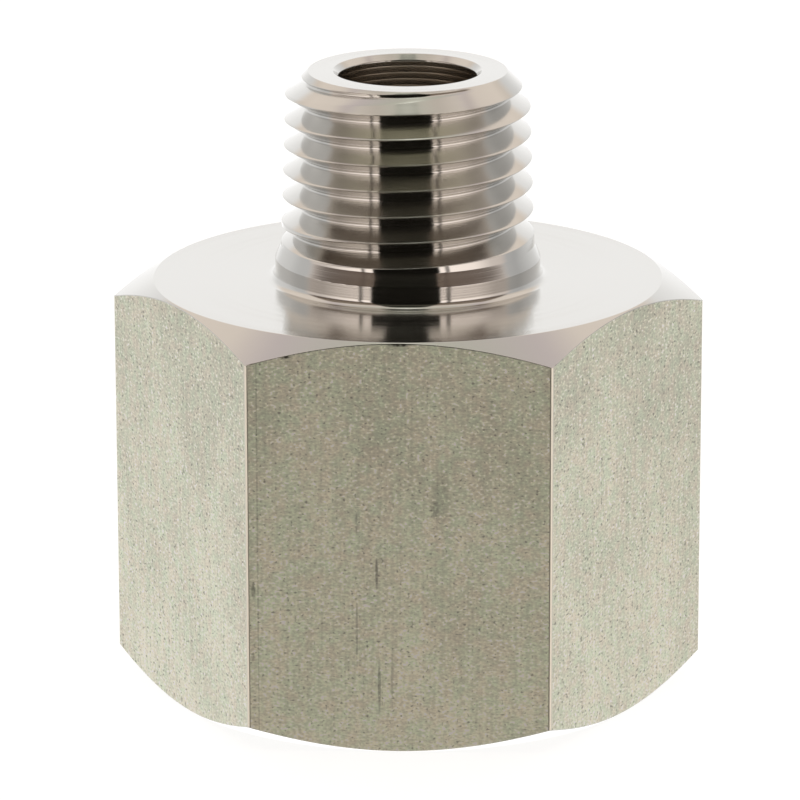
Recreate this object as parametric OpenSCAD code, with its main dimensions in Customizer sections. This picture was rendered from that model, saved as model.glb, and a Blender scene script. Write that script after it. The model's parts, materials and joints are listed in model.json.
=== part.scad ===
// Pneumatic reducing adapter, turned from one length of hexagon bar.
// The hexagon carries a tapered female port underneath, a shorter stub on top carries a
// tapered male thread, and a straight bore joins the two. It stands on its bottom face,
// with the origin at the centre of that face.

/* [Hexagon bar] */
// Width of the bar across its flats
across_flats = 28; // [27:0.5:30]
// Length of the hexagon, from the bottom face to the shoulder
hex_length = 22.7; // [22:0.1:28]
// Diameter of the faced disc left inside the end chamfers
faced_d = 27.8; // [26.4:0.1:27.8]
// Angle of the end chamfers, measured from the end face
hex_chamfer_angle = 30; // [20:1:40]

/* [Stub] */
// Height of the stub above the shoulder
stub_length = 11.5; // [10:0.5:14]
// Diameter of the plain neck under the thread
neck_d = 14.5; // [14.2:0.1:15.5]
// Height of the plain neck, fillet included
neck_length = 1.3; // [1:0.1:2]
// Radius of the fillet where the neck meets the shoulder
neck_fillet = 0.45; // [0.2:0.05:0.5]
// Half angle of the cone between the neck and the thread
relief_angle = 36; // [30:1:45]
// Diameter of the flat ring left on the end of the stub
end_face_d = 11.1; // [10.6:0.1:11.6]

/* [Male thread] */
// Diameter over the crests at the end of the stub
male_crest_d = 13.25; // [13.1:0.05:13.4]
// Distance from one crest to the next
male_pitch = 1.411; // [1.337:0.001:1.411]
// Depth of the thread, from crest to root
male_depth = 1.03; // [0.8:0.01:1.04]
// Angle round the axis at which the groove leaves the end of the stub
male_start_angle = 311; // [0:1:359]
// Turns over which the groove runs out
male_runout_turns = 0.7; // [0.5:0.05:0.8]

/* [Female port] */
// Diameter of the tapping drill
port_drill_d = 17.86; // [17.7:0.01:18]
// Depth of the drilled hole, to the start of its point
port_drill_depth = 17; // [16.5:0.1:17.5]
// Depth at which the reamed taper runs into the drilled hole
port_ream_depth = 14; // [13.8:0.1:14.5]
// Diameter over the roots of the thread at the bottom face
port_root_d = 21.22; // [21:0.01:21.3]
// Distance from one root to the next
port_pitch = 1.814; // [1.8:0.001:1.83]
// Length of the thread
port_thread_length = 13.6; // [12:0.1:13.7]
// Diameter of the countersink at the mouth
port_mouth_d = 21.8; // [21.5:0.1:22.2]
// Included angle of the drill point
drill_point_angle = 118; // [118:1:135]

/* [Through bore] */
// Diameter of the bore
bore_d = 7.5; // [6:0.1:8]
// Width of the countersink where the bore leaves the stub
bore_countersink = 0.38; // [0.2:0.01:0.5]

/* [Hidden] */
$fn = 96;

// Values shared by both tapered threads
taper = 1 / 32;
flank_angle = 30;
root_flat = 0.04;
steps_per_turn = 40;

// Cutters run past the faces that they open
over = 1;
bar_corner_d = across_flats / cos(30);
hex_trim_d = bar_corner_d + 2;
hex_trim_drop = (hex_trim_d - faced_d) / 2 * tan(hex_chamfer_angle);
stub_top = hex_length + stub_length;
neck_top = hex_length + neck_length;
relief_top = neck_top + (neck_d / 2 - male_crest_r(neck_top)) / (tan(relief_angle) - taper);
end_chamfer = (male_crest_d - end_face_d) / 2;
fillet_steps = 6;

// Radius over the male crests at height z
function male_crest_r(z) = male_crest_d / 2 + (stub_top - z) * taper;

// Radii over the female roots and crests at height z
function port_root_r(z) = port_root_d / 2 - z * taper;
function port_crest_r(z) = port_drill_d / 2 + (port_ream_depth - z) * taper;

// One section of a thread groove, as [radius, height] pairs. A groove in a shaft is
// narrowest inside, and a groove in a hole is narrowest outside.
function groove_section(root_r, mouth_r, z) =
    let (root_half = root_flat / 2,
         mouth_half = root_half + abs(mouth_r - root_r) * tan(flank_angle))
    [[root_r, z - root_half], [root_r, z + root_half],
     [mouth_r, z + mouth_half], [mouth_r, z - mouth_half]];

// A section's points turned about the axis
function swing(section, angle) = [for (p = section) [p[0] * cos(angle), p[0] * sin(angle), p[1]]];

// The solid swept through a list of four-point sections. A groove in a shaft is swept
// downwards and a groove in a hole upwards, so that both come out with their faces outward.
module sweep(sections) {
    last = len(sections) - 1;
    sides = [for (i = [0:last - 1], j = [0:3])
        let (k = (j + 1) % 4, a = 4 * i, b = 4 * (i + 1)) [a + j, a + k, b + k, b + j]];
    last_cap = [for (j = [0:3]) 4 * last + j];
    polyhedron(points = [for (s = sections) each s], faces = concat([[3, 2, 1, 0]], sides, [last_cap]));
}

// Hexagon bar with both ends chamfered in the lathe
module hex_blank() {
    intersection() {
        translate([0, 0, -over])
            cylinder(d = bar_corner_d, h = hex_length + 2 * over, $fn = 6);
        rotate_extrude()
            polygon([[0, 0], [faced_d / 2, 0], [hex_trim_d / 2, hex_trim_drop],
                [hex_trim_d / 2, hex_length - hex_trim_drop], [faced_d / 2, hex_length],
                [0, hex_length]]);
    }
}

// Stub turned for the thread: fillet, neck, relief cone, tapered blank and end chamfer
module stub_blank() {
    fillet_r = neck_d / 2 + neck_fillet;
    fillet = [for (i = [0:fillet_steps])
        let (a = 90 * i / fillet_steps)
        [fillet_r - neck_fillet * sin(a), hex_length + neck_fillet * (1 - cos(a))]];
    rotate_extrude()
        polygon(concat([[0, hex_length - over], [fillet_r, hex_length - over]], fillet,
            [[neck_d / 2, neck_top],
             [male_crest_r(relief_top), relief_top],
             [male_crest_r(stub_top - end_chamfer), stub_top - end_chamfer],
             [end_face_d / 2, stub_top], [0, stub_top]]));
}

// Groove of the male thread, which lifts out of the metal as it reaches the neck
module male_groove() {
    clear = 0.1;
    start_z = stub_top + male_pitch;
    turns = (start_z - relief_top) / male_pitch + 0.1;
    steps = ceil(turns * steps_per_turn);
    lift_rate = (male_depth + neck_d / 2 - male_crest_d / 2) / male_runout_turns;
    sections = [for (i = [0:steps])
        let (turn = i / steps_per_turn,
             z = start_z - turn * male_pitch,
             angle = male_start_angle + 360 * (1 - turn),
             lift = lift_rate * max(0, turn - steps / steps_per_turn + male_runout_turns),
             mouth_r = male_crest_r(z) + clear + lift)
        swing(groove_section(mouth_r - clear - male_depth, mouth_r, z), angle)];
    sweep(sections);
}

// Groove of the female thread, from below the mouth to its run-out inside the drilled hole
module port_groove() {
    clear = 0.02;
    start_z = -port_pitch;
    runout_turns = 1;
    steps = round((port_thread_length / port_pitch + 1) * steps_per_turn);
    depth = port_root_r(port_thread_length) - port_crest_r(port_thread_length);
    sections = [for (i = [0:steps])
        let (turn = i / steps_per_turn,
             z = start_z + turn * port_pitch,
             lift = depth / runout_turns * max(0, turn - steps / steps_per_turn + runout_turns))
        swing(groove_section(port_root_r(z) - lift, port_crest_r(z) - clear - lift, z), 360 * turn)];
    sweep(sections);
}

// Drilled hole with its point, the reamed taper that the thread is cut in, and the
// countersunk mouth
module port_drilling() {
    mouth_depth = (port_mouth_d / 2 - port_crest_r(0)) / (1 - taper);
    point_height = port_drill_d / 2 / tan(drill_point_angle / 2);
    rotate_extrude()
        polygon([[0, -over], [port_mouth_d / 2 + over, -over],
            [port_crest_r(mouth_depth), mouth_depth], [port_drill_d / 2, port_ream_depth],
            [port_drill_d / 2, port_drill_depth], [0, port_drill_depth + point_height]]);
}

// Straight bore through the stub, with a small countersink at its end
module through_bore() {
    translate([0, 0, port_drill_depth])
        cylinder(d = bore_d, h = stub_top - port_drill_depth + over);
    translate([0, 0, stub_top - bore_countersink])
        cylinder(d1 = bore_d, d2 = bore_d + 2 * (bore_countersink + over), h = bore_countersink + over);
}

module adapter_body() {
    color([0.72, 0.71, 0.67])
        difference() {
            union() {
                hex_blank();
                stub_blank();
            }
            male_groove();
            port_drilling();
            port_groove();
            through_bore();
        }
}

adapter_body();
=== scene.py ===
# %% [markdown]
# A pneumatic hex adapter in stainless steel
#
# The real part is turned from a length of hexagon bar. It is a hexagon with a tapped port
# underneath, and on top it has a stub with a tapered thread and a bore through it. All of it
# is one piece of metal, so this lesson makes one mesh, gives each of its surfaces the finish
# that its tool left, and then lights it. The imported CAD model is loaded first. It is the
# ruler for everything below.

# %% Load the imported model
import json
import math

import bmesh
import bpy
import numpy as np
from mathutils import Matrix, Vector


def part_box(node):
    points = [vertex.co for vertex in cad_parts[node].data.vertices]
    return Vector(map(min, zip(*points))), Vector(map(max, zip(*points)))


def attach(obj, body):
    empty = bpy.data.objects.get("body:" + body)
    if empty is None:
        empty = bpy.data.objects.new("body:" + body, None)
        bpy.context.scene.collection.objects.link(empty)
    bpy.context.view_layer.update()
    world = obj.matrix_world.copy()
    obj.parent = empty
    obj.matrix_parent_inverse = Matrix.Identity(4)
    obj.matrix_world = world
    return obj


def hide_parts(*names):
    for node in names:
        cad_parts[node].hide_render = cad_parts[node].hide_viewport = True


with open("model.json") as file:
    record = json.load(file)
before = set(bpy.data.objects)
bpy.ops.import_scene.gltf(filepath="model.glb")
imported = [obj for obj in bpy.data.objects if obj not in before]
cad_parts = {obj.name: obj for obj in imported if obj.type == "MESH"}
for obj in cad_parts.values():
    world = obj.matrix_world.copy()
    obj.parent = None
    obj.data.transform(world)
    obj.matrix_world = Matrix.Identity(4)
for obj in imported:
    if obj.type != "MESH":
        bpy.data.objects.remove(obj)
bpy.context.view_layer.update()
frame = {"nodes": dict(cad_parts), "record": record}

print("nodes in the frame:", sorted(frame["nodes"]))

# %% [markdown]
# Sizes
#
# A model that is to fit its CAD twin takes its sizes from it and not from a copy of them.
# The box gives the hexagon and the height, and the record's mounts give the shoulder, the
# bore and the tapping drill. What neither holds, such as a chamfer, is a named value here.
# All of it is in millimetres, because that is how a turner would read the drawing, and the
# mesh is scaled to metres once, when it is made.

# %% Sizes from the frame
MM = 0.001
low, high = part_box("adapter_body")
mounts = {mount["name"]: mount for mount in frame["record"]["mounts"]}

across_flats = (high.y - low.y) / MM
top_z = high.z / MM
shoulder_z = mounts["shoulder_face"]["pos_m"][2] / MM
bore_r = mounts["air_passage"]["dims"]["r_mm"]
drill_r = mounts["female_port"]["dims"]["r_mm"]
print(f"{across_flats:.2f} across flats, {top_z:.2f} high, shoulder at {shoulder_z:.2f}")

# %% Sizes of the turned details
# Radius of the shoulder's flat disc, and how fast the end chamfers fall away from it
FACED_R = 13.9
HEX_CHAMFER = math.tan(math.radians(30))
# Radius that the drawing die leaves on the hexagon's corners
CORNER_RADIUS = 0.22
# Plain neck above the shoulder, the fillet at its foot and the relief cone on top of it
NECK_R, NECK_LENGTH, NECK_FILLET = 7.25, 1.15, 0.45
RELIEF_SLOPE = math.tan(math.radians(24))
# Flat ring on the end of the stub, and the countersink of the bore inside it
END_FACE_R = 5.4
COUNTERSINK = 0.3

# %% Sizes of the threads
# Both threads lie on cones of 1 in 16, so a radius changes by 1 in 32, and their flanks stand
# 60 degrees apart
TAPER = 1 / 32
FLANK_SLOPE = 1 / math.tan(math.radians(30))
# Pitch and depth, the angle at which the groove leaves the end, and its run-out in turns
MALE_PITCH, MALE_DEPTH, MALE_START, MALE_RUNOUT = 1.411, 1.08, 327, 0.7
MALE_CREST_R = 6.625
# Pitch and length, the angle at which the groove ends, and the radius over the roots
PORT_PITCH, PORT_THREAD, PORT_END, PORT_ROOT_R = 1.814, 13.6, 180, 10.61
# Mouth of the port, and how deep its reamed taper and its drilled hole go
PORT_MOUTH_R, PORT_REAM_DEPTH, PORT_DRILL_DEPTH = 10.9, 14, 17
DRILL_POINT = math.tan(math.radians(59))


def male_crest_r(z):
    """Radius over the crests of the male thread, which widens on its way down."""
    return MALE_CREST_R + (top_z - z) * TAPER


neck_top = shoulder_z + NECK_LENGTH
relief_top = neck_top + (NECK_R - male_crest_r(neck_top)) / (RELIEF_SLOPE - TAPER)
chamfer_foot = top_z - (MALE_CREST_R - END_FACE_R)
print(f"relief cone ends at {relief_top:.2f}, end chamfer starts at {chamfer_foot:.2f}")

# %% [markdown]
# One mesh from a moving section
#
# A lathe part could be made with the Screw modifier, and its threads with a boolean cut. A
# boolean leaves long slivers, though, and polished steel shows every one of them as a kink
# in a reflection. Here the part is a grid instead. A column is the part's section at one
# angle: it runs down the outside, in under the foot, up through the port and the bore, and
# back to where it began. A row is one point of that section carried round the axis.
#
# The columns stand evenly round the axis, because uneven ones would show as kinks in what a
# polished cone reflects. Only the flats have a few more of them at the six corners, so that
# these have a small radius. Thin strips above and below the flats join the two counts.

# %% Columns
# The count divides by twelve, so that there is a column at every corner and mid flat
ROUND_STEPS = 192
STEPS_AT_A_CORNER = 5
cos30 = math.cos(math.radians(30))
corner_centre = (across_flats / 2 - CORNER_RADIUS) / cos30
corner_reach = math.degrees(math.atan2(CORNER_RADIUS / 2, corner_centre + CORNER_RADIUS * cos30))

round_angle = np.arange(ROUND_STEPS) * 360 / ROUND_STEPS
at_corner = np.linspace(-corner_reach, corner_reach, STEPS_AT_A_CORNER)
corner_angle = np.concatenate([at_corner + 60 * k for k in range(6)]) % 360
hex_angle = np.unique(np.round(np.concatenate([round_angle, corner_angle]), 6))


def hexagon_r(angle):
    """Distance from the axis to the hexagon's outline, rounded at its corners."""
    from_corner = np.radians((angle + 30) % 60 - 30)
    flat = across_flats / 2 / np.cos(np.radians(30) - np.abs(from_corner))
    inside = np.maximum(CORNER_RADIUS ** 2 - (corner_centre * np.sin(from_corner)) ** 2, 0)
    arc = corner_centre * np.cos(from_corner) + np.sqrt(inside)
    return np.where(np.abs(from_corner) < np.radians(corner_reach), arc, flat)


bar_r = hexagon_r(hex_angle)
print(f"{ROUND_STEPS} round columns, {len(hex_angle)} round the hexagon")
print(f"the hexagon's outline is {bar_r.min():.2f} to {bar_r.max():.2f} from the axis")

# %% [markdown]
# The section of a thread
#
# A taper thread is cut by a pointed tool with a small round nose, which follows a helix on a
# cone. Its groove is an arc between two straight flanks, and the metal left between two
# turns is the crest. It could be a profile swept along a helix, but such a sweep has to be cut
# and joined where it meets the chamfer and the relief cone. Here the groove's radius is a
# formula of the distance from its middle instead, exact at any number of rows. Where groove
# and cone meet, the smaller radius wins, and the edge between them is rounded a little, as a
# deburred crest is.

# %% Shape of one groove
# Depth over which a crest's edge is rounded, and the radius of the tool's nose
EDGE_BLEND, NOSE_RADIUS = 0.1, 0.11
# Widths that keep the rows apart where the groove or the crest has run out
LEAST_HALF_GROOVE, LEAST_HALF_CREST = 0.14, 0.04
HALVINGS = 25


def soft_min(a, b):
    """The smaller of two values, with the corner between them rounded."""
    h = np.maximum(EDGE_BLEND - np.abs(a - b), 0) / EDGE_BLEND
    return np.minimum(a, b) - h * h * EDGE_BLEND / 4


def groove_r(root, offset, into):
    """Radius of a groove's surface at a distance up or down from its middle."""
    away = np.abs(offset)
    arc = 2 * NOSE_RADIUS - np.sqrt(np.maximum(NOSE_RADIUS ** 2 - away ** 2, 0))
    rise = np.where(away < NOSE_RADIUS * cos30, arc, away * FLANK_SLOPE) - NOSE_RADIUS
    return root + into * rise


def half_groove(blank, root, middle, pitch, into, up):
    """Distance from a groove's middle to the edge of its crest, found by bisection."""
    near, far = np.zeros_like(root), np.full_like(root, pitch / 2)
    for _ in range(HALVINGS):
        half = (near + far) / 2
        cut = into * (blank(middle + up * half) - groove_r(root, half, into)) > 0
        near, far = np.where(cut, half, near), np.where(cut, far, half)
    return np.clip(near, LEAST_HALF_GROOVE, pitch / 2 - LEAST_HALF_CREST)


print(f"a full male groove is {2 * (MALE_DEPTH + NOSE_RADIUS) / FLANK_SLOPE:.2f} wide")

# %% [markdown]
# Rows that follow a thread
#
# If the rows of a thread were level rings, each crest would cross them at a slant and come
# out as a staircase. So in a threaded stretch the rows climb with the helix: after one turn,
# each row has become the row of the same place one pitch higher, and the seam joins it
# there. Rows that climb past the end of the stretch are held at its edge.
#
# Each pitch gets rows where its section bends: round the root, on the two flanks and round
# both edges of the crest. A level edge that the thread crosses, such as the end chamfer's,
# takes the nearest two rows of each column, one for each side of it.

# %% Threaded stretch
# Half the height of the strip that takes the sharpness off a level edge
LEVEL_EDGE = 0.02


def put_edge(z, level):
    """Moves the two rows next to a level edge to its two sides, in every column."""
    below = np.argmax(z < level, axis=0)
    row, column = np.arange(len(z))[:, None], np.arange(ROUND_STEPS)
    z = np.where(row < below, np.maximum(z, level + LEVEL_EDGE), np.minimum(z, level - LEVEL_EDGE))
    z[below - 1, column] = level + LEVEL_EDGE
    z[below, column] = level - LEVEL_EDGE
    return z


def thread_rows(blank, groove, pitch, turns, ends, level_edges, into, offsets):
    """Radius and height of every row and column of a threaded stretch, from the top down.

    blank gives the unthreaded radius at a height, and groove the middle and the root of a
    groove from its number and its angle. into is 1 where the groove cuts a shaft and -1 where
    it cuts a hole. The third result is the number of rows to a pitch.
    """
    root_rows, flank_shares, edge_rows = offsets
    z_rows, middle_rows, root_r_rows = [], [], []
    for k in turns:
        middle, root = groove(k, round_angle)
        offset_rows = [np.full(ROUND_STEPS, pitch / 2)]
        for up in (1, -1):
            half = half_groove(blank, root, middle, pitch, into, up)
            flank_end = half + edge_rows[0]
            side_rows = [np.full(ROUND_STEPS, r) for r in root_rows]
            side_rows += [root_rows[-1] + (flank_end - root_rows[-1]) * f for f in flank_shares]
            side_rows += [half + e for e in edge_rows]
            offset_rows += side_rows[::-1] if up == 1 else [-row for row in side_rows[1:]]
        z_rows += [middle + row for row in offset_rows]
        middle_rows += [middle] * len(offset_rows)
        root_r_rows += [root] * len(offset_rows)
    z, middle, root = np.array(z_rows), np.array(middle_rows), np.array(root_r_rows)

    z = np.clip(z, *ends)
    for level in level_edges:
        z = put_edge(z, level)
    r = into * soft_min(into * blank(z), into * groove_r(root, z - middle, into))
    at_end = (z == ends[0]) | (z == ends[1])
    return np.where(at_end, blank(z), r), z, len(offset_rows)


# %% Male thread
# Corners of the stub before it is threaded, from the neck to the end chamfer
stub_z = [neck_top, relief_top, chamfer_foot, top_z]
stub_r = [NECK_R, male_crest_r(relief_top), male_crest_r(chamfer_foot), END_FACE_R]
# Turns from the stub's end to where the groove has left the metal, and its lift on the way
turns_to_cone = (top_z + MALE_PITCH - relief_top) / MALE_PITCH + 0.1
male_lift = (MALE_DEPTH + NECK_R - MALE_CREST_R) / MALE_RUNOUT
# Rows of half a groove: distances from its middle round the root, shares of the flank, and
# distances from the edge of the crest
FINE_ROWS = ([0, 0.035, 0.065, 0.095], [0.3, 0.65], [-0.045, -0.018, 0.008, 0.03])
# Turns that reach past both ends of the stretch, so that its edges cut them off
MALE_TURNS = range(-1, 9)


def male_groove(k, angle):
    """Middle and root of turn k of the male groove, which lifts out of the metal at its end."""
    turn = k + (MALE_START - angle) / 360
    middle = top_z - MALE_PITCH * turn
    lift = male_lift * np.maximum(0, turn + 1 - turns_to_cone + MALE_RUNOUT)
    return middle, male_crest_r(middle) - MALE_DEPTH + lift


def stub_blank(z):
    """Radius of the stub before it is threaded."""
    return np.interp(z, stub_z, stub_r)


male = thread_rows(stub_blank, male_groove, MALE_PITCH, MALE_TURNS, (neck_top, top_z - LEVEL_EDGE),
                   [relief_top, chamfer_foot], 1, FINE_ROWS)
print("male thread:", male[0].shape[0], "rows,", male[2], "to a pitch")

# %% Female port
# The mouth is countersunk down to the reamed taper, which runs into the drilled wall
mouth_crest_r = drill_r + PORT_REAM_DEPTH * TAPER
mouth_depth = (PORT_MOUTH_R - mouth_crest_r) / (1 - TAPER)
port_z = [0, mouth_depth, PORT_REAM_DEPTH, PORT_DRILL_DEPTH]
port_r = [PORT_MOUTH_R, PORT_MOUTH_R - mouth_depth, drill_r, drill_r]
# Depth of the groove at its inner end, where it runs out over one turn
inner_depth = PORT_ROOT_R - PORT_THREAD * TAPER - (drill_r + (PORT_REAM_DEPTH - PORT_THREAD) * TAPER)
# Fewer rows do for a groove that is hardly ever seen
COARSE_ROWS = ([0, 0.095], [0.5], [-0.03, 0, 0.03])
PORT_TURNS = range(-1, 10)
# Height at which the threaded stretch ends, on the plain drilled wall
PLAIN_WALL = PORT_REAM_DEPTH + 1


def port_groove(k, angle):
    """Middle and root of turn k of the port's groove, counted from its inner end."""
    turn = k + (PORT_END - angle) / 360
    middle = PORT_THREAD - PORT_PITCH * turn
    return middle, PORT_ROOT_R - middle * TAPER - inner_depth * np.maximum(0, 1 - turn)


def port_blank(z):
    """Radius of the port before it is tapped: mouth, reamed taper and drilled wall."""
    return np.interp(z, port_z, port_r)


port = thread_rows(port_blank, port_groove, PORT_PITCH, PORT_TURNS, (LEVEL_EDGE, PLAIN_WALL),
                   [mouth_depth, PORT_REAM_DEPTH], -1, COARSE_ROWS)
print("female port:", port[0].shape[0], "rows,", port[2], "to a pitch")

# %% [markdown]
# Rows that are level rings
#
# Everything between the two threads is a plain section with the hexagon in it. Each of its
# corners is cut back a little on both sides. The narrow strip that this leaves catches the
# light as a real edge does, because no tool leaves a perfectly sharp one. A Bevel modifier
# could do it too, but it would have to be kept off the threads.
#
# The end chamfers are cones cut on a hexagon, so their lower edge follows from the distance
# of the flat at each angle and comes out as the six arcs that mark any hexagon nut.

# %% Tools for plain stretches
# How far an edge is cut back along each of its sides
EDGE_WIDTH = 0.03


def ring(r, z, angle=round_angle):
    """One row: a radius and a height at every column."""
    return np.stack([np.broadcast_to(r, len(angle)), np.broadcast_to(z, len(angle))], axis=-1)


def soften(rows, width):
    """Cuts every corner of a section back along both of its sides."""
    out = [rows[0]]
    for before, corner, after in zip(rows, rows[1:], rows[2:]):
        for other in (before, after):
            side_length = np.linalg.norm(other - corner, axis=-1, keepdims=True)
            reach = np.minimum(width, side_length / 3)
            out.append(corner + (other - corner) * reach / side_length)
    return out + [rows[-1]]


# %% Hexagon
# Width of a ring that holds the shading of the disc flat next to its edge
RIM = 0.2


def hexagon_rows(r, angle):
    """The hexagon from shoulder to foot, with its two cones and its flats."""
    drop = (r - FACED_R) * HEX_CHAMFER
    corners = [(FACED_R - RIM, shoulder_z), (FACED_R, shoulder_z), (r, shoulder_z - drop),
               (r, drop), (FACED_R, 0), (FACED_R - RIM, 0)]
    return soften([ring(*corner, angle) for corner in corners], EDGE_WIDTH)


sharp_r = across_flats / 2 / np.cos(np.radians((round_angle + 60) % 60 - 30))
cone_rows = hexagon_rows(sharp_r, round_angle)
flat_rows = hexagon_rows(bar_r, hex_angle)[4:6]
foot_rows = cone_rows[6:] + [ring(PORT_MOUTH_R + LEVEL_EDGE, 0),
                             ring(PORT_MOUTH_R - LEVEL_EDGE, LEVEL_EDGE)]
print(f"flats from {flat_rows[1][0, 1]:.2f} to {flat_rows[0][0, 1]:.2f} at the corners")

# %% Neck and fillet
disc_r = NECK_R + NECK_FILLET
fillet_rows = [ring(disc_r - NECK_FILLET * math.sin(a), shoulder_z + NECK_FILLET * (1 - math.cos(a)))
               for a in np.radians([90, 75, 60, 45, 30, 15, 0])]
top_rows = [ring(NECK_R, neck_top), ring(NECK_R, neck_top - EDGE_WIDTH)] + fillet_rows
top_rows += [ring(disc_r + 2 * EDGE_WIDTH, shoulder_z)] + cone_rows[:4]
print(len(top_rows), "rows from the neck to the top of the flats")

# %% [markdown]
# The bore
#
# The bore runs from the drill point to the end of the stub. In its last stretch the boring
# tool has left a few steps that are only hundredths of a millimetre deep, and they are the
# bright rings that one sees inside the rim. A bump pattern could fake them, but three rows of
# points for each are as easy to make, and they stay right from every side.

# %% Bore
# Length of the stretch with the marks, and their number, spacing and depth
MARKED_LENGTH, BORING_MARKS, MARK_SPACING, MARK_DEPTH = 2.6, 6, 0.36, 0.03
# Where the first mark starts, as a share of the spacing
FIRST_MARK = 0.3
# Heights above a mark's start at which it is deepest and has ended
MARK_DEEPEST, MARK_END = 0.07, 0.1

bore_foot = PORT_DRILL_DEPTH + (drill_r - bore_r) / DRILL_POINT
bore_rows = soften([ring(drill_r, PLAIN_WALL), ring(drill_r, PORT_DRILL_DEPTH),
                    ring(bore_r, bore_foot), ring(bore_r, top_z - MARKED_LENGTH)], EDGE_WIDTH)
for k in range(BORING_MARKS):
    z = top_z - MARKED_LENGTH + (k + FIRST_MARK) * MARK_SPACING
    bore_rows += [ring(bore_r, z), ring(bore_r + MARK_DEPTH, z + MARK_DEEPEST), ring(bore_r, z + MARK_END)]
# The rows so far are bored, and those of the countersink and the end face are turned
bored_count = len(bore_rows)
bore_rows += soften([ring(bore_r, top_z - COUNTERSINK - MARK_END), ring(bore_r, top_z - COUNTERSINK),
                     ring(bore_r + COUNTERSINK, top_z), ring(END_FACE_R - LEVEL_EDGE, top_z)],
                    EDGE_WIDTH)
bore_rows += [ring(END_FACE_R + LEVEL_EDGE, top_z - LEVEL_EDGE)]
print(f"{len(bore_rows)} rows, and the bore starts at {bore_foot:.2f}")

# %% [markdown]
# Points and faces
#
# Rows become points by turning each of them about the axis, and two rows become a band of
# faces. Blender's Bridge Edge Loops could make the bands too, but it would have to guess
# which points belong together, and here their numbers say so. A plain band closes on itself.
# A threaded band closes on the rows one pitch higher, and each of its cells is cut into
# triangles along the diagonal that a level edge takes from one row to the next. Each face
# remembers its finish, which is the number of a material.

# %% Points, faces and their finishes
BAR_SKIN, TURNED, BORED, BURNISHED = 0, 1, 2, 3
points, faces, finishes = [], [], []


def add_rows(rows, angle=round_angle):
    """Adds rows of points, in metres, and returns their numbers, row by row."""
    first, turned = len(points), np.radians(angle)
    r, z = np.array(rows)[..., 0], np.array(rows)[..., 1]
    points.extend(np.stack([r * np.cos(turned), r * np.sin(turned), z], axis=-1).reshape(-1, 3) * MM)
    return np.arange(first, len(points)).reshape(len(rows), len(angle))


def add_faces(new_faces, finish):
    """Adds faces of one finish."""
    faces.extend(new_faces)
    finishes.extend([finish] * len(new_faces))


def add_plain(rows, angle, finish_of):
    """Adds a plain stretch, whose rows close on themselves."""
    index = add_rows(rows, angle)
    for i, (upper, lower) in enumerate(zip(index, index[1:])):
        a, b = np.append(upper, upper[0]), np.append(lower, lower[0])
        add_faces([(a[j], b[j], b[j + 1], a[j + 1]) for j in range(len(angle))], finish_of(i))
    return index


def add_thread(thread, finish):
    """Adds a threaded stretch, whose rows climb by one pitch at the seam."""
    r, z, step = thread
    index = add_rows(np.stack([r, z], axis=-1))
    for i, (upper, lower) in enumerate(zip(index, index[1:])):
        a = np.append(upper, index[max(i - step, 0), 0])
        b = np.append(lower, index[max(i + 1 - step, 0), 0])
        add_faces([(a[j], b[j], b[j + 1]) for j in range(ROUND_STEPS)], finish)
        add_faces([(a[j], b[j + 1], a[j + 1]) for j in range(ROUND_STEPS)], finish)


def add_joint(round_row, hex_row, finish):
    """Adds the strip between a round row and a row of the hexagon."""
    at = np.append(np.searchsorted(hex_angle, round_angle), len(hex_angle))
    a, b = np.append(round_row, round_row[0]), np.append(hex_row, hex_row[0])
    add_faces([(a[j], *b[at[j]:at[j + 1] + 1], a[j + 1]) for j in range(ROUND_STEPS)], finish)


# %% Put the stretches together
add_thread(male, TURNED)
top = add_plain(top_rows, round_angle, lambda i: TURNED)
first_flat = len(faces)
flats = add_plain(flat_rows, hex_angle, lambda i: BAR_SKIN)
middle_angle = hex_angle + np.diff(hex_angle, append=360) / 2
in_corner = np.abs((middle_angle + 30) % 60 - 30) < corner_reach
for column in np.flatnonzero(in_corner):
    finishes[first_flat + column] = BURNISHED
foot = add_plain(foot_rows, round_angle, lambda i: TURNED)
add_joint(top[-1], flats[0], TURNED)
add_joint(foot[0], flats[-1], TURNED)
add_thread(port, BORED)
add_plain(bore_rows, round_angle, lambda i: BORED if i < bored_count else TURNED)
print(len(points), "points and", len(faces), "faces")

# %% [markdown]
# The mesh
#
# The rows that were held at an edge lie on top of each other there. They could be left out
# one by one, but it is simpler to weld the mesh once, at a distance far below any detail. A
# closed mesh has no open edges after that, and its volume can be set against the CAD model's.

# %% Weld the mesh
# Distance in millimetres under which two points become one
WELD = 0.0015

mesh = bpy.data.meshes.new("adapter")
mesh.from_pydata(points, [], faces)
mesh.polygons.foreach_set("material_index", finishes)
shape = bmesh.new()
shape.from_mesh(mesh)
bmesh.ops.remove_doubles(shape, verts=shape.verts, dist=WELD * MM)
bmesh.ops.recalc_face_normals(shape, faces=shape.faces)
open_edges = sum(not edge.is_manifold for edge in shape.edges)
volume = shape.calc_volume(signed=True) / MM ** 3
print(f"{len(shape.verts)} points, {open_edges} open edges, {volume:.0f} cubic millimetres")
shape.to_mesh(mesh)
shape.free()
mesh.shade_smooth()

# %% [markdown]
# Shading of the edges
#
# A smooth surface is shaded by the normals of its points. If they are plain averages, a wide
# flat next to a narrow edge strip looks bent. The Weighted Normal modifier cures that, but
# it treats all faces under about a hundredth of a unit as equal, which here is every face of
# a part that is 34 mm high. So each normal is worked out in the code, and led by the largest
# faces round its point. The edge strips stay as narrow as they are modelled.

# %% Normals led by the largest faces


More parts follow.
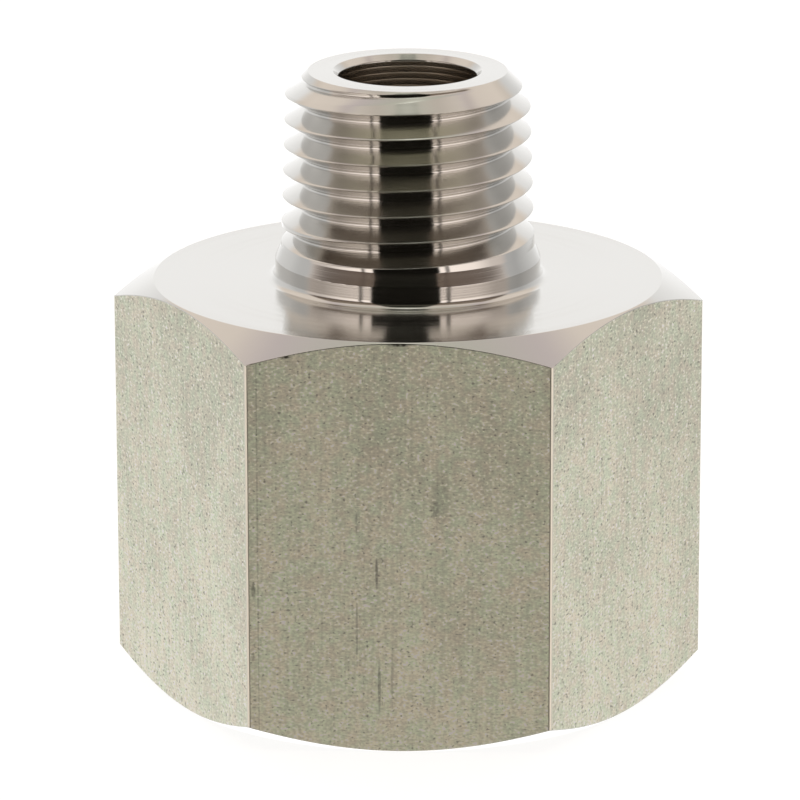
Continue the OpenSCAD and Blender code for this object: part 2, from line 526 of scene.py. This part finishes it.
def large_face_normals(mesh):
    """Normals of the points, from the faces round each, weighted by their area squared."""
    area, normal = np.empty(len(mesh.polygons)), np.empty(3 * len(mesh.polygons))
    corners, point = np.empty(len(mesh.polygons), int), np.empty(len(mesh.loops), int)
    mesh.polygons.foreach_get("area", area)
    mesh.polygons.foreach_get("normal", normal)
    mesh.polygons.foreach_get("loop_total", corners)
    mesh.loops.foreach_get("vertex_index", point)
    share = normal.reshape(-1, 3) * (area[:, None] / area.max()) ** 2
    total = np.zeros((len(mesh.vertices), 3))
    np.add.at(total, point, np.repeat(share, corners, axis=0))
    return total / np.linalg.norm(total, axis=1, keepdims=True)


mesh.normals_split_custom_set_from_vertices(large_face_normals(mesh))
print("custom normals:", mesh.has_custom_normals)

# %% [markdown]
# The piece in its frame
#
# The mesh becomes one object, as the real part is one piece. It hangs from the root body, and the
# CAD solid that it stands in for is hidden.

# %% The piece
adapter = bpy.data.objects.new("adapter", mesh)
bpy.context.scene.collection.objects.link(adapter)
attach(adapter, "root")
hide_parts("adapter_body")
print("made", adapter.name)

# %% [markdown]
# Materials
#
# Stainless steel is one metal with four finishes here. In the Principled shader a metal has
# Metallic at 1, the default IOR, and a base colour that tints what it mirrors. For steel that
# colour is a light warm grey, and the roughness is what tells one finish from another: about
# 0.1 for a fine cut, 0.2 to 0.3 for a plain one and over 0.5 for an etched skin. The nodes
# could be laid out by hand in the editor. In a script they are easier to read when each node,
# its settings and its links are one call, so one small function adds them all.

# %% Helpers for materials


def to_linear(hex_colour):
    """An sRGB colour such as 'A1B2C3', as the linear numbers that shaders work with."""
    channels = [int(hex_colour[i:i + 2], 16) / 255 for i in (0, 2, 4)]
    return [c / 12.92 if c <= 0.04045 else ((c + 0.055) / 1.055) ** 2.4 for c in channels] + [1.0]


def add_node(tree, kind, inputs=None, **settings):
    """Adds a node, sets its properties, and sets or links its inputs."""
    node = tree.nodes.new(kind)
    for name, value in settings.items():
        setattr(node, name, value)
    for socket, value in (inputs or {}).items():
        if isinstance(value, bpy.types.NodeSocket):
            tree.links.new(value, node.inputs[socket])
        else:
            node.inputs[socket].default_value = value
    return node


def new_metal(name, colour, roughness):
    """A metal of one colour and roughness, which patterns can vary later, and its shader."""
    material = bpy.data.materials.new(name)
    material.use_nodes = True
    shader = material.node_tree.nodes["Principled BSDF"]
    shader.inputs["Base Color"].default_value = to_linear(colour)
    shader.inputs["Metallic"].default_value = 1.0
    shader.inputs["Roughness"].default_value = roughness
    return material, shader


print("the light grey D0CECA is", [round(c, 3) for c in to_linear("D0CECA")], "in linear numbers")

# %% [markdown]
# Turned stainless steel
#
# A turning tool leaves a fine spiral of grooves, so close that the eye sees no lines, only
# what they do to a reflection. Across the grooves it is smeared, and along them it stays
# sharp: that is why the dark stripe on the stub has crisp sides and soft ends. An image of
# brushed metal could be wrapped round the part. The anisotropic lobe of the shader does the
# same from one tangent, the direction round the axis, and it needs no unwrapping.

# %% Turned stainless steel
# Height counts more than radius, or the rings would fade out where one falls as fast as the
# other grows
HEIGHT_SHARE = 1.4
# Bands where the tool cut brighter or duller, and the roughness of either
BANDS_PER_MM, BRIGHTEST, DULLEST = 1.6, 0.1, 0.14
# A finishing cut leaves about 18 grooves to the millimetre. They are too fine to show here,
# so they are drawn twice as coarse
GROOVES_PER_MM, COARSER, GROOVE_DEPTH = 18, 2, 0.03


def ring_coordinate(tree):
    """A distance in millimetres that grows along the turned section, so its lines are rings."""
    place = add_node(tree, "ShaderNodeTexCoord")
    parts = add_node(tree, "ShaderNodeSeparateXYZ", {0: place.outputs["Object"]})
    flat = add_node(tree, "ShaderNodeCombineXYZ", {0: parts.outputs[0], 1: parts.outputs[1]})
    radius = add_node(tree, "ShaderNodeVectorMath", {0: flat.outputs[0]}, operation="LENGTH")
    both = add_node(tree, "ShaderNodeMath",
                    {0: parts.outputs[2], 1: HEIGHT_SHARE, 2: radius.outputs["Value"]},
                    operation="MULTIPLY_ADD")
    in_mm = add_node(tree, "ShaderNodeMath", {0: both.outputs[0], 1: 1 / MM}, operation="MULTIPLY")
    return in_mm.outputs[0]


def turned_steel():
    """Bright steel as a finishing cut leaves it: mirror-like, with reflections drawn out."""
    material, shader = new_metal("turned stainless steel", "D0CECA", 0.12)
    tree = material.node_tree
    shader.inputs["Anisotropic"].default_value = 0.9
    shader.inputs["Anisotropic Rotation"].default_value = 0.25
    round_axis = add_node(tree, "ShaderNodeTangent", direction_type="RADIAL", axis="Z")
    tree.links.new(round_axis.outputs[0], shader.inputs["Tangent"])

    rings = ring_coordinate(tree)
    bands = add_node(tree, "ShaderNodeTexNoise", {"W": rings, "Scale": BANDS_PER_MM, "Detail": 1.0},
                     noise_dimensions="1D")
    roughness = add_node(tree, "ShaderNodeMapRange",
                         {0: bands.outputs[0], 1: 0.3, 2: 0.7, 3: BRIGHTEST, 4: DULLEST})
    tree.links.new(roughness.outputs[0], shader.inputs["Roughness"])

    grooves = add_node(tree, "ShaderNodeTexNoise",
                       {"W": rings, "Scale": GROOVES_PER_MM / COARSER, "Detail": 1.0},
                       noise_dimensions="1D")
    bump = add_node(tree, "ShaderNodeBump",
                    {"Strength": 0.06, "Distance": GROOVE_DEPTH * MM, "Height": grooves.outputs[0]})
    tree.links.new(bump.outputs[0], shader.inputs["Normal"])
    return material


print("tool grooves drawn", GROOVES_PER_MM / COARSER, "to the millimetre")

# %% [markdown]
# Pickled bar skin
#
# The flats are never turned. They keep the skin of the bar, which was drawn through a die and then
# pickled in acid. The acid eats round the metal's grains, so the skin is dull and a little green,
# with dark pits and single bright grains. The die leaves faint lines along the bar. All of it could
# be a photograph of steel, but a photograph has its own light in it. Here it is noise in real sizes:
# each pattern is a factor, and the skin's tone is the product of them all. One more factor is painted
# light, which makes the skin paler towards the foot. The front flat also has a few marks of its own from
# handling.

# %% Patterns in millimetres


def pattern(tree, place, size, low, high, detail):
    """A factor from noise whose features have a size in millimetres in x, y and z.

    low and high are pairs: a value of the noise, and the factor that it gives.
    """
    per_metre = [1 / (s * MM) for s in size]
    scaled = add_node(tree, "ShaderNodeMapping", {"Vector": place, "Scale": per_metre})
    noise = add_node(tree, "ShaderNodeTexNoise",
                     {"Vector": scaled.outputs[0], "Scale": 1.0, "Detail": detail})
    factor = add_node(tree, "ShaderNodeMapRange",
                      {0: noise.outputs[0], 1: low[0], 2: high[0], 3: low[1], 4: high[1]})
    return factor.outputs[0]


def patch(tree, place, centre, reach):
    """1 at a centre in millimetres, falling to 0 at its reach in x, y and z."""
    per_metre = [1 / (r * MM) for r in reach]
    shift = [-c * MM * k for c, k in zip(centre, per_metre)]
    scaled = add_node(tree, "ShaderNodeMapping", {"Vector": place, "Location": shift, "Scale": per_metre})
    away = add_node(tree, "ShaderNodeVectorMath", {0: scaled.outputs[0]}, operation="LENGTH")
    return add_node(tree, "ShaderNodeMapRange", {0: away.outputs["Value"], 1: 1.0, 2: 0.5}).outputs[0]


print("a pattern of 0.2 mm repeats", round(1 / (0.2 * MM)), "times to the metre")

# %% Pickled bar skin
# Marks on the front flat: the x and z of each, half its width and height, and its tone. First
# come six lines along the bar, then two parts of a smudge, two nicks at the left edge and two
# at the top
FRONT_FLAT = -across_flats / 2
MARKS = [(-1.19, 10.0, 0.09, 1.1, 0.5), (-2.25, 6.9, 0.08, 2.4, 0.72), (-2.25, 12.8, 0.08, 0.7, 0.7),
         (-1.06, 3.7, 0.1, 1.7, 0.62), (-0.37, 4.1, 0.09, 2.1, 0.78), (-7.5, 11, 0.06, 20, 0.8),
         (2.2, 14.3, 0.55, 1.7, 0.84), (1.9, 13.6, 0.25, 0.6, 0.72),
         (-7.75, 9.0, 0.14, 0.5, 0.5), (-7.8, 5.3, 0.12, 0.3, 0.6),
         (0, 22.6, 0.7, 0.14, 0.15), (-5.9, 21.9, 0.3, 0.13, 0.15)]
# Painted light: how much the skin's tone is raised at the foot and at the shoulder, paler at the foot as if
# the table lit it
FOOT_TONE, SHOULDER_TONE = 1.1, 0.94


def bar_skin():
    """Dull grey steel with a fine grain, which shows soft light and dark but no reflections.

    The etched grains of real bar are 0.05 to 0.1 mm. They are drawn at twice that size, or
    the render would average them away.
    """
    material, shader = new_metal("pickled bar skin", "ECEEE1", 0.7)
    tree = material.node_tree
    place = add_node(tree, "ShaderNodeTexCoord").outputs["Object"]
    grain = pattern(tree, place, (0.19, 0.19, 0.12), (0.3, 0.87), (0.7, 1.13), 1.0)
    pits = pattern(tree, place, (0.2, 0.2, 0.14), (0.2, 0.58), (0.32, 1.0), 0.0)
    bright_grains = pattern(tree, place, (0.19, 0.19, 0.12), (0.67, 1.0), (0.79, 1.3), 0.0)
    clouds = pattern(tree, place, (3.0, 3.0, 6.0), (0.3, 0.94), (0.7, 1.07), 3.0)
    die_lines = pattern(tree, place, (0.2, 0.2, 9.0), (0.35, 0.95), (0.65, 1.03), 2.0)
    height = add_node(tree, "ShaderNodeSeparateXYZ", {0: place}).outputs["Z"]
    # Painted light, not the skin's own tone: the skin is painted paler towards the foot, where light from
    # the table would fall on it
    rising = add_node(tree, "ShaderNodeMapRange",
                      {0: height, 1: 0.0, 2: shoulder_z * MM, 3: FOOT_TONE, 4: SHOULDER_TONE})
    factors = [pits, bright_grains, clouds, die_lines, rising.outputs[0]]

    # Each mark is broken up a little, as a scuff on an etched surface is
    breaks = pattern(tree, place, (0.2, 0.2, 0.3), (0.4, 0.6), (0.6, 1.1), 2.0)
    for x, z, half_width, half_height, mark_tone in MARKS:
        whole = patch(tree, place, (x, FRONT_FLAT, z), (half_width, 1, half_height))
        broken = add_node(tree, "ShaderNodeMath", {0: whole, 1: breaks}, operation="MULTIPLY")
        mark = add_node(tree, "ShaderNodeMapRange", {0: broken.outputs[0], 3: 1.0, 4: mark_tone})
        factors.append(mark.outputs[0])

    tone = grain
    for factor in factors:
        tone = add_node(tree, "ShaderNodeMath", {0: tone, 1: factor}, operation="MULTIPLY").outputs[0]

    hue = pattern(tree, place, (0.8, 0.8, 0.8), (0.35, 0.0), (0.65, 1.0), 3.0)
    colour = add_node(tree, "ShaderNodeMix", {0: hue, 6: to_linear("EFEDE1"), 7: to_linear("E9F0E1")},
                      data_type="RGBA")
    toned = add_node(tree, "ShaderNodeVectorMath", {0: colour.outputs[2], 3: tone}, operation="SCALE")
    tree.links.new(toned.outputs[0], shader.inputs["Base Color"])
    bump = add_node(tree, "ShaderNodeBump", {"Strength": 0.25, "Distance": 0.02 * MM, "Height": grain})
    tree.links.new(bump.outputs[0], shader.inputs["Normal"])
    return material


print(f"{len(MARKS)} marks on the front flat, which is at y = {FRONT_FLAT:.2f}")

# %% [markdown]
# Bored and burnished steel
#
# Two finishes are plain. Inside the port and the bore the tools cut less cleanly than on the
# outside, so reflections there are softer and a little warmer. The six corners of the bar
# were rubbed along the drawing die and are smoother and brighter than its flats, which gives
# each corner its thin bright line. Both could have patterns like the other two, but neither
# is seen large enough for them to show.

# %% The four finishes
# Satin inside: it shows the rings of the bore, but no sharp reflections
bored_steel, _ = new_metal("bored stainless steel", "CDC5BA", 0.22)
# Half as rough as the flats, so that each corner catches a line of light
burnished_steel, _ = new_metal("burnished corners of the bar", "E4E2D6", 0.35)
for material in (bar_skin(), turned_steel(), bored_steel, burnished_steel):
    mesh.materials.append(material)
    print(material.name, "has", len(material.node_tree.nodes), "nodes")

# %% [markdown]
# Floor
#
# The part stands on white paper that runs out of the picture. More light could make it white,
# but it would wash out the steel as well. So its colour is a light grey, which bounces no
# more light on the part than paper does, and a glow that only the camera sees lifts it to
# white and keeps the soft shadow. Reflections don't see it: they see the table in the world's
# picture instead, which has the shades of a real one.

# %% Floor
# Side of the sheet in metres, and the strength of the glow, of which 1 is white
FLOOR_SIZE = 3.0
CAMERA_GLOW = 0.86

half = FLOOR_SIZE / 2
floor_mesh = bpy.data.meshes.new("floor")
floor_mesh.from_pydata([(-half, -half, 0), (half, -half, 0), (half, half, 0), (-half, half, 0)], [],
                       [(0, 1, 2, 3)])
floor = bpy.data.objects.new("floor", floor_mesh)
bpy.context.scene.collection.objects.link(floor)
floor.visible_glossy = False

paper = bpy.data.materials.new("white paper")
paper.use_nodes = True
tree = paper.node_tree
shader = tree.nodes["Principled BSDF"]
shader.inputs["Base Color"].default_value = to_linear("A8A8A6")
shader.inputs["Roughness"].default_value = 0.9
shader.inputs["Specular IOR Level"].default_value = 0.0
ray = add_node(tree, "ShaderNodeLightPath")
strength = add_node(tree, "ShaderNodeMath", {0: ray.outputs["Is Camera Ray"], 1: CAMERA_GLOW},
                    operation="MULTIPLY")
glow = add_node(tree, "ShaderNodeEmission", {"Color": to_linear("FFFFFF"), "Strength": strength.outputs[0]})
both = add_node(tree, "ShaderNodeAddShader", {0: shader.outputs[0], 1: glow.outputs[0]})
tree.links.new(both.outputs[0], tree.nodes["Material Output"].inputs["Surface"])
floor_mesh.materials.append(paper)
print(f"a floor of {FLOOR_SIZE} m with a glow of {CAMERA_GLOW}")

# %% [markdown]
# A room that the steel reflects
#
# Bright steel has hardly a colour of its own. What gives it its look is what it mirrors, so
# the light is built first of all as a picture of a room round the part. It could be made of
# softboxes and cards. The world shader can be that picture by itself, and then nothing stands
# in the way of the camera.
#
# Three colour ramps run from straight down to straight up. The back walls are pale from the
# table to the ceiling. The side walls are white near the horizon and have a dark gap from
# about 20 to 50 degrees up. The doorway is the dark opening in front, where the camera
# stands, and it is what draws the dark stripe down the stub. A fourth ramp runs round the
# compass and dims the lower walls here and there. Its two narrow dips are posts beside the
# doorway, and they show as thin lines on both sides of the stripe. Bearings are counted from
# the camera.

# %% Colours of the room
# The camera's angle round the part, counted from the X axis, and the strength of the world
CAMERA_ANGLE = -87.9
WALL_STRENGTH = 1.6
# Angle up from the horizon in degrees, and the colour there
BACK_WALLS = [(-90, "FBFBFB"), (-20, "FBFBFB"), (-10, "DEDEDE"), (21, "DEDEDE"), (28, "D2C8BE"),
              (50, "CDC3BA"), (59, "B6ADAC"), (76, "ACACA0"), (82, "B8B8AC"), (90, "F4F4EA")]
SIDE_WALLS = [(-90, "A8A494"), (-44, "AFAA93"), (-30, "C6BDB2"), (-19, "FAEEE6"), (17, "F6EAE2"),
              (23, "574A42"), (31, "574A42"), (38, "7C7064"), (50, "685C52"), (57, "CEC4BA"),
              (72, "B3ABA2"), (82, "B8B8AC"), (90, "F4F4EA")]
DOORWAY = [(-90, "EAE6D8"), (-64, "D8D4C4"), (-46, "98957F"), (-34, "3C3A30"), (-22, "100F0C"),
           (36, "100F0C"), (45, "504E44"), (56, "100F0C"), (68, "100F0C"), (73, "706E66"),
           (77, "8E8E84"), (82, "B8B8AC"), (90, "F4F4EA")]
# Bearing in degrees, and how bright the lower wall is there
COMPASS = [(-180, 1.0), (-165, 1.0), (-148, 0.78), (-125, 0.72), (-112, 0.6), (-80, 0.55),
           (-62, 0.8), (-43.5, 1.0), (-42.5, 0.2), (-40, 0.2), (-39, 1.0), (33, 1.0), (34, 0.2),
           (36.5, 0.2), (37.5, 1.0), (62, 0.9), (80, 0.6), (112, 0.48), (128, 0.62), (148, 0.78),
           (165, 1.0), (180, 1.0)]
# Bearing at which the side walls meet the back walls, the doorway's two edges, and how far
# each of these edges is blurred
SIDES_REACH, SIDES_BLUR = 97, 4
DOOR_LEFT, DOOR_RIGHT, DOOR_BLUR = -32, 28, 0.8
# Angles up from the horizon between which the compass fades out
FADE_START, FADE_END = 20, 34.4


def colours_along(tree, angle, stops, reach):
    """The colours or greys along an angle, from stops in degrees between -reach and reach."""
    share = add_node(tree, "ShaderNodeMapRange", {0: angle, 1: -reach, 2: reach})
    ramp = add_node(tree, "ShaderNodeValToRGB", {"Fac": share.outputs[0]})
    while len(ramp.color_ramp.elements) < len(stops):
        ramp.color_ramp.elements.new(0.5)
    for element, (degrees, colour) in zip(ramp.color_ramp.elements, stops):
        element.position = (degrees + reach) / (2 * reach)
        element.color = to_linear(colour) if isinstance(colour, str) else [colour] * 3 + [1.0]
    return ramp.outputs["Color"]


print("ramps with", len(BACK_WALLS), len(SIDE_WALLS), len(DOORWAY), "and", len(COMPASS), "stops")

# %% Directions in the world, in degrees
world = bpy.data.worlds.new("studio")
bpy.context.scene.world = world
world.use_nodes = True
tree = world.node_tree
direction = add_node(tree, "ShaderNodeTexCoord")
from_camera = add_node(tree, "ShaderNodeVectorRotate",
                       {"Vector": direction.outputs["Generated"], "Angle": math.radians(-CAMERA_ANGLE)},
                       rotation_type="Z_AXIS")
parts = add_node(tree, "ShaderNodeSeparateXYZ", {0: from_camera.outputs[0]})
height = add_node(tree, "ShaderNodeMath", {0: parts.outputs["Z"]}, operation="ARCSINE")
up = add_node(tree, "ShaderNodeMath", {0: height.outputs[0]}, operation="DEGREES").outputs[0]
turn = add_node(tree, "ShaderNodeMath", {0: parts.outputs["Y"], 1: parts.outputs["X"]},
                operation="ARCTAN2")
bearing = add_node(tree, "ShaderNodeMath", {0: turn.outputs[0]}, operation="DEGREES").outputs[0]
print("bearing 0 is the camera's, at", CAMERA_ANGLE, "degrees from the X axis")

# %% Walls, doorway and ceiling
back_walls = colours_along(tree, up, BACK_WALLS, 90)
side_walls = colours_along(tree, up, SIDE_WALLS, 90)
doorway = colours_along(tree, up, DOORWAY, 90)
lower_walls = colours_along(tree, bearing, COMPASS, 180)

off_axis = add_node(tree, "ShaderNodeMath", {0: bearing}, operation="ABSOLUTE")
in_front = add_node(tree, "ShaderNodeMapRange",
                    {0: off_axis.outputs[0], 1: SIDES_REACH + SIDES_BLUR, 2: SIDES_REACH - SIDES_BLUR})
walls = add_node(tree, "ShaderNodeMix", {0: in_front.outputs[0], 6: back_walls, 7: side_walls},
                 data_type="RGBA")
overhead = add_node(tree, "ShaderNodeMapRange", {0: up, 1: FADE_START, 2: FADE_END})
dimming = add_node(tree, "ShaderNodeMix", {0: overhead.outputs[0], 6: lower_walls, 7: (1, 1, 1, 1)},
                   data_type="RGBA")
room = add_node(tree, "ShaderNodeVectorMath", {0: walls.outputs[2], 1: dimming.outputs[2]},
                operation="MULTIPLY")

past_left = add_node(tree, "ShaderNodeMapRange",
                     {0: bearing, 1: DOOR_LEFT - DOOR_BLUR, 2: DOOR_LEFT + DOOR_BLUR})
past_right = add_node(tree, "ShaderNodeMapRange",
                      {0: bearing, 1: DOOR_RIGHT + DOOR_BLUR, 2: DOOR_RIGHT - DOOR_BLUR})
in_door = add_node(tree, "ShaderNodeMath", {0: past_left.outputs[0], 1: past_right.outputs[0]},
                   operation="MULTIPLY")
seen = add_node(tree, "ShaderNodeMix", {0: in_door.outputs[0], 6: room.outputs[0], 7: doorway},
                data_type="RGBA")
background = tree.nodes["Background"]
background.inputs["Strength"].default_value = WALL_STRENGTH
tree.links.new(seen.outputs[2], background.inputs["Color"])
print("the world has", len(tree.nodes), "nodes")

# %% [markdown]
# Camera
#
# A small part is photographed from well back with a long lens, so that its sides stay nearly
# parallel. The camera's place and lens were worked out from the corners and arcs of the
# hexagon. Aiming it from an angle, a height and a distance keeps them readable, where a
# matrix of sixteen numbers would not.

# %% Camera
# The point it looks at and its distance in millimetres, its angles in degrees, and its lens
AIM = Vector((-0.48, 1.01, 15.29)) * MM
DISTANCE, ELEVATION, ROLL, LENS = 317.63, 15.98, -0.113, 258.65

azimuth, elevation = math.radians(CAMERA_ANGLE), math.radians(ELEVATION)
back = Vector((math.cos(azimuth) * math.cos(elevation), math.sin(azimuth) * math.cos(elevation),
               math.sin(elevation)))
camera_data = bpy.data.cameras.new("camera")
camera_data.lens = LENS
camera_data.clip_start, camera_data.clip_end = 0.01, 10
camera = bpy.data.objects.new("camera", camera_data)
bpy.context.scene.collection.objects.link(camera)
aim = (-back).to_track_quat("-Z", "Y").to_matrix().to_4x4()
roll = Matrix.Rotation(math.radians(ROLL), 4, "Z")
camera.matrix_world = Matrix.Translation(AIM + back * DISTANCE * MM) @ aim @ roll
bpy.context.scene.camera = camera
bpy.context.scene.view_settings.view_transform = "Standard"
print(f"camera {camera.matrix_world.translation.length:.3f} m from the part's foot")
